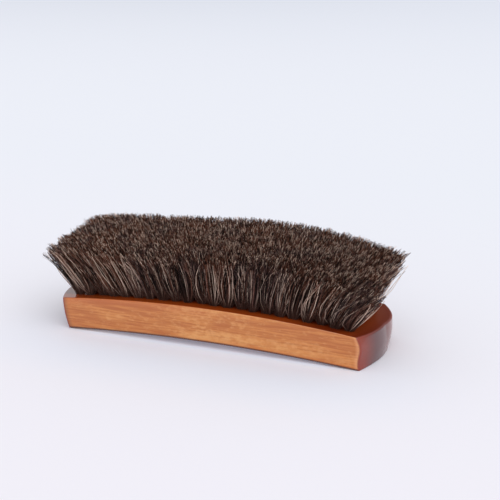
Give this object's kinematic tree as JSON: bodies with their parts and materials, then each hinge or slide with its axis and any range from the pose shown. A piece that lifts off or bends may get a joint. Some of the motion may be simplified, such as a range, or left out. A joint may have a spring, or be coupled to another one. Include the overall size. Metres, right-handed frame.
{
  "type": "shoe shine brush",
  "caption": "Bowed one-piece hardwood block with round ends, filled with staple-set tufts of dark horsehair that splay outward and are trimmed to a crown.",
  "frame": {"origin": "middle of the plane that the brush rests on when it lies on its back", "axes": "+X along the brush's length, +Y across its width, +Z out of the bristle face"},
  "size_m": [0.1748, 0.055, 0.0529],
  "materials": {
    "block_wood": "hardwood stained orange-brown to red-brown under clear gloss lacquer, with fine lengthwise grain on the sides and a darker bristle face and ends",
    "horsehair": "dark grey-brown horsehair with scattered pale hairs, cut square at the tips",
    "anchor_wire": "bright flat steel wire, sheared at both ends"
  },
  "bodies": {
    "root": {"wooden_block": "block_wood", "tuft_row_01": "horsehair", "tuft_row_02": "horsehair", "tuft_row_03": "horsehair", "tuft_row_04": "horsehair", "tuft_row_05": "horsehair", "tuft_row_06": "horsehair", "tuft_row_07": "horsehair", "tuft_row_08": "horsehair", "tuft_row_09": "horsehair", "tuft_row_10": "horsehair", "tuft_row_11": "horsehair", "tuft_row_12": "horsehair", "tuft_row_13": "horsehair", "tuft_row_14": "horsehair", "tuft_row_15": "horsehair", "tuft_row_16": "horsehair", "tuft_row_17": "horsehair", "tuft_row_18": "horsehair", "tuft_row_19": "horsehair", "tuft_row_20": "horsehair", "tuft_row_21": "horsehair", "tuft_row_22": "horsehair", "anchor_row_01": "anchor_wire", "anchor_row_02": "anchor_wire", "anchor_row_03": "anchor_wire", "anchor_row_04": "anchor_wire", "anchor_row_05": "anchor_wire", "anchor_row_06": "anchor_wire", "anchor_row_07": "anchor_wire", "anchor_row_08": "anchor_wire", "anchor_row_09": "anchor_wire", "anchor_row_10": "anchor_wire", "anchor_row_11": "anchor_wire", "anchor_row_12": "anchor_wire", "anchor_row_13": "anchor_wire", "anchor_row_14": "anchor_wire", "anchor_row_15": "anchor_wire", "anchor_row_16": "anchor_wire", "anchor_row_17": "anchor_wire", "anchor_row_18": "anchor_wire", "anchor_row_19": "anchor_wire", "anchor_row_20": "anchor_wire", "anchor_row_21": "anchor_wire", "anchor_row_22": "anchor_wire"}
  },
  "joints": []
}
